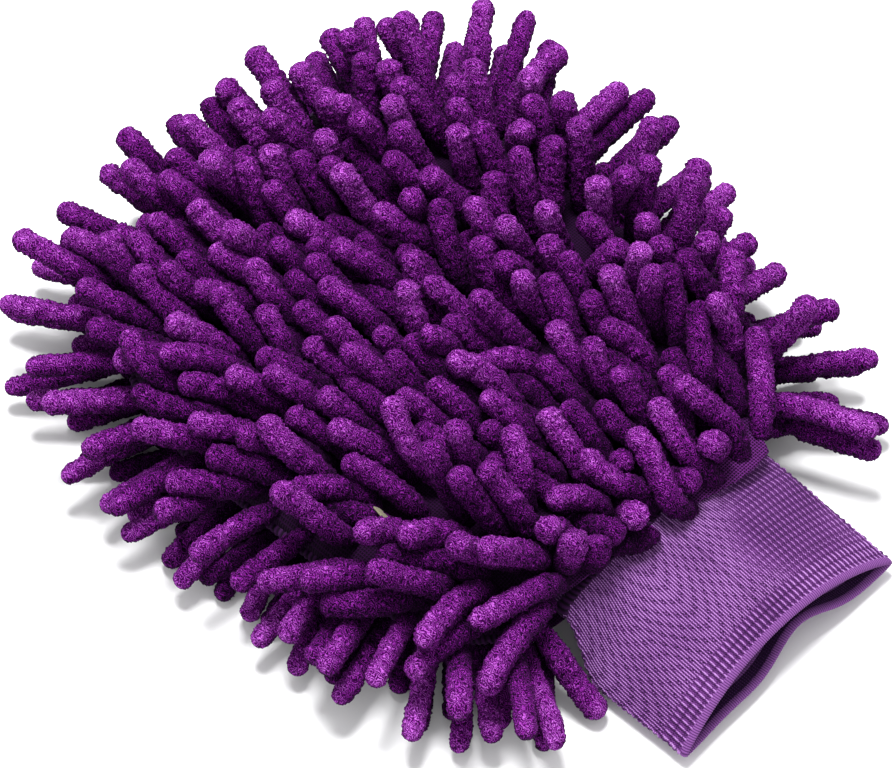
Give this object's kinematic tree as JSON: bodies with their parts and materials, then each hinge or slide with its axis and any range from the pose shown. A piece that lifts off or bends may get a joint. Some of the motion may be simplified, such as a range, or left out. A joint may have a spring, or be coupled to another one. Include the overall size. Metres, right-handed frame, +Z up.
{
  "type": "chenille wash mitt",
  "caption": "Hand mitt for washing cars: a cloth pouch covered all over in soft chenille noodles, with a ribbed stretch-knit cuff lying on one side.",
  "frame": {"origin": "on the surface the mitt lies on, under the middle of its outline", "axes": "+Y towards the finger end, along the longest side, with the cuff at -Y; +X across the hand; +Z up from the palm side to the back"},
  "size_m": [0.2, 0.256, 0.06],
  "materials": {
    "chenille_noodles": "deep-pile microfibre chenille",
    "base_cloth": "knitted mesh backing",
    "cuff_knit": "matt stretch rib knit",
    "covered_elastic": "yarn-covered elastic",
    "seam_thread": "overlock stitching",
    "label_tape": "woven tape"
  },
  "bodies": {
    "mitt": {"back_base_cloth": "base_cloth", "palm_base_cloth": "base_cloth", "left_side_seam": "seam_thread", "right_side_seam": "seam_thread", "finger_end_seam": "seam_thread", "cuff_joining_seam": "seam_thread", "back_noodle_row_01": "chenille_noodles", "back_noodle_row_02": "chenille_noodles", "back_noodle_row_03": "chenille_noodles", "back_noodle_row_04": "chenille_noodles", "back_noodle_row_05": "chenille_noodles", "back_noodle_row_06": "chenille_noodles", "back_noodle_row_07": "chenille_noodles", "back_noodle_row_08": "chenille_noodles", "back_noodle_row_09": "chenille_noodles", "back_noodle_row_10": "chenille_noodles", "back_noodle_row_11": "chenille_noodles", "back_noodle_row_12": "chenille_noodles", "back_noodle_row_13": "chenille_noodles", "back_noodle_row_14": "chenille_noodles", "back_noodle_row_15": "chenille_noodles", "back_noodle_row_16": "chenille_noodles", "back_noodle_row_17": "chenille_noodles", "palm_noodle_row_01": "chenille_noodles", "palm_noodle_row_02": "chenille_noodles", "palm_noodle_row_03": "chenille_noodles", "palm_noodle_row_04": "chenille_noodles", "palm_noodle_row_05": "chenille_noodles", "palm_noodle_row_06": "chenille_noodles", "palm_noodle_row_07": "chenille_noodles", "palm_noodle_row_08": "chenille_noodles", "palm_noodle_row_09": "chenille_noodles", "palm_noodle_row_10": "chenille_noodles", "palm_noodle_row_11": "chenille_noodles", "palm_noodle_row_12": "chenille_noodles", "palm_noodle_row_13": "chenille_noodles", "palm_noodle_row_14": "chenille_noodles", "palm_noodle_row_15": "chenille_noodles", "palm_noodle_row_16": "chenille_noodles", "palm_noodle_row_17": "chenille_noodles", "left_side_noodles": "chenille_noodles", "left_corner_noodles": "chenille_noodles", "finger_end_noodles": "chenille_noodles", "right_corner_noodles": "chenille_noodles", "right_side_noodles": "chenille_noodles", "left_shoulder_noodles": "chenille_noodles", "right_shoulder_noodles": "chenille_noodles", "care_label_tab": "label_tape"},
    "cuff": {"cuff_knit_tube": "cuff_knit", "cuff_rib_band": "cuff_knit", "cuff_hem": "cuff_knit", "cuff_elastic_outer": "covered_elastic", "cuff_elastic_inner": "covered_elastic"}
  },
  "joints": [
    {"name": "cuff_fold", "type": "hinge", "parent": "mitt", "child": "cuff", "pos_m": [0, -0.0782, 0.0283], "axis": [-1, 0, 0], "range_deg": [0, 60]}
  ]
}
